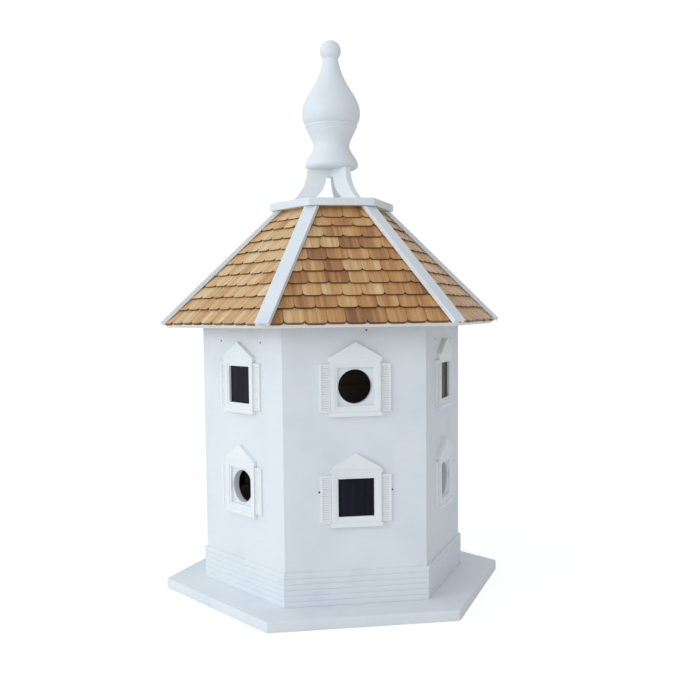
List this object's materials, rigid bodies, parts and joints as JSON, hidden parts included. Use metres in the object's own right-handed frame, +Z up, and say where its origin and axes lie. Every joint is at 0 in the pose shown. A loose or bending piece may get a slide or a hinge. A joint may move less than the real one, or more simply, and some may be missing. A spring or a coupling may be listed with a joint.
{
  "type": "garden dovecote birdhouse",
  "caption": "White six-sided wooden dovecote on a wide base plate, with shuttered windows, round entrances, a cedar shingle roof with hip caps, and a turned finial.",
  "frame": {"origin": "middle of the underside of the base plate", "axes": "+Z up through the finial; the front wall, with its round entrance above its square window, faces -Y"},
  "size_m": [0.4532, 0.4014, 0.7125],
  "materials": {
    "white_paint": "satin white paint over wood",
    "cedar_shingles": "unpainted cedar",
    "dark_panes": "gloss",
    "bare_plywood": "unpainted"
  },
  "bodies": {
    "root": {"base_plate": "white_paint", "front_wall": "white_paint", "front_right_wall": "white_paint", "back_right_wall": "white_paint", "back_wall": "white_paint", "back_left_wall": "white_paint", "front_left_wall": "white_paint", "skirting": "white_paint", "upper_floor": "bare_plywood", "front_windows": "white_paint", "front_right_windows": "white_paint", "back_right_windows": "white_paint", "back_windows": "white_paint", "back_left_windows": "white_paint", "front_left_windows": "white_paint", "front_shutters": "white_paint", "front_right_shutters": "white_paint", "back_right_shutters": "white_paint", "back_shutters": "white_paint", "back_left_shutters": "white_paint", "front_left_shutters": "white_paint", "window_panes": "dark_panes", "front_roof_board": "white_paint", "front_right_roof_board": "white_paint", "back_right_roof_board": "white_paint", "back_roof_board": "white_paint", "back_left_roof_board": "white_paint", "front_left_roof_board": "white_paint", "front_shingles": "cedar_shingles", "front_right_shingles": "cedar_shingles", "back_right_shingles": "cedar_shingles", "back_shingles": "cedar_shingles", "back_left_shingles": "cedar_shingles", "front_left_shingles": "cedar_shingles", "front_right_hip_cap": "white_paint", "right_hip_cap": "white_paint", "back_right_hip_cap": "white_paint", "back_left_hip_cap": "white_paint", "left_hip_cap": "white_paint", "front_left_hip_cap": "white_paint", "collar": "white_paint", "cupola_bracket_left": "white_paint", "cupola_bracket_front_right": "white_paint", "cupola_bracket_back_right": "white_paint", "finial": "white_paint"}
  },
  "joints": []
}
